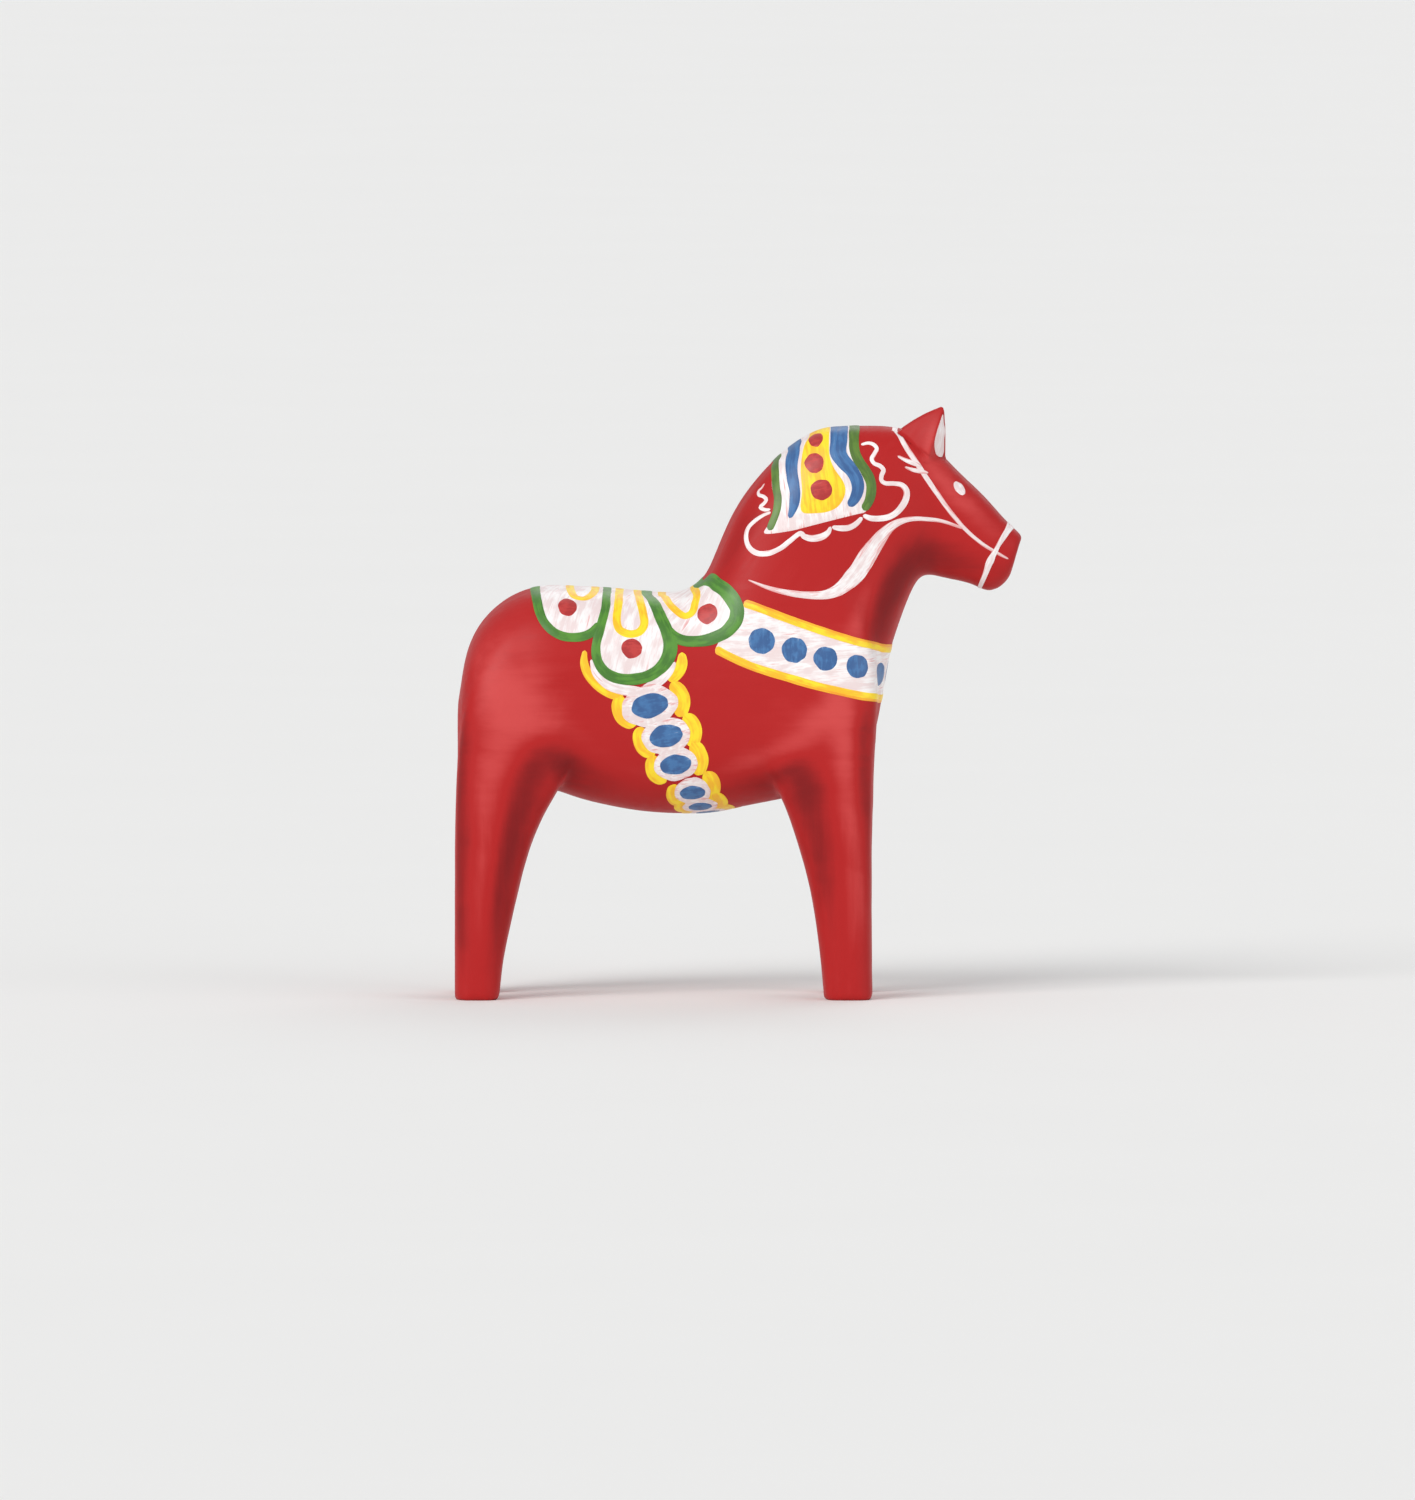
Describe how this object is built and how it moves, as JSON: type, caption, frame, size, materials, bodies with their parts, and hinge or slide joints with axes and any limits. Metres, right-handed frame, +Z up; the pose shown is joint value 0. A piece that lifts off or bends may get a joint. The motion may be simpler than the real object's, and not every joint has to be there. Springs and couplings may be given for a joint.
{
  "type": "dala horse",
  "caption": "Painted wooden dala horse standing on four straight legs, red with kurbits-style saddle, girth, breast band, mane and bridle; decorative figure.",
  "frame": {"origin": "middle of the overall box at floor level, under the belly", "axes": "+X towards the muzzle, +Y towards the horse's left side, +Z up"},
  "size_m": [0.2885, 0.0962, 0.3],
  "materials": {
    "red_paint": "satin-gloss red oil paint on carved pine",
    "bare_pine": "raw, turned",
    "white_paint": "brushed white kurbits paint",
    "yellow_paint": "brushed yellow kurbits paint",
    "green_paint": "brushed green kurbits paint",
    "blue_paint": "brushed blue kurbits paint"
  },
  "bodies": {
    "root": {"core_rump_stave": "red_paint", "core_belly_stave": "red_paint", "core_neck_stave": "red_paint", "core_head_stave": "red_paint", "left_hind_leg_stave": "red_paint", "left_flank_stave": "red_paint", "left_front_leg_stave": "red_paint", "right_hind_leg_stave": "red_paint", "right_flank_stave": "red_paint", "right_front_leg_stave": "red_paint", "left_ear": "red_paint", "right_ear": "red_paint", "layer_dowels": "bare_pine", "edge_dowels": "bare_pine", "ear_pegs": "bare_pine"}
  },
  "joints": []
}
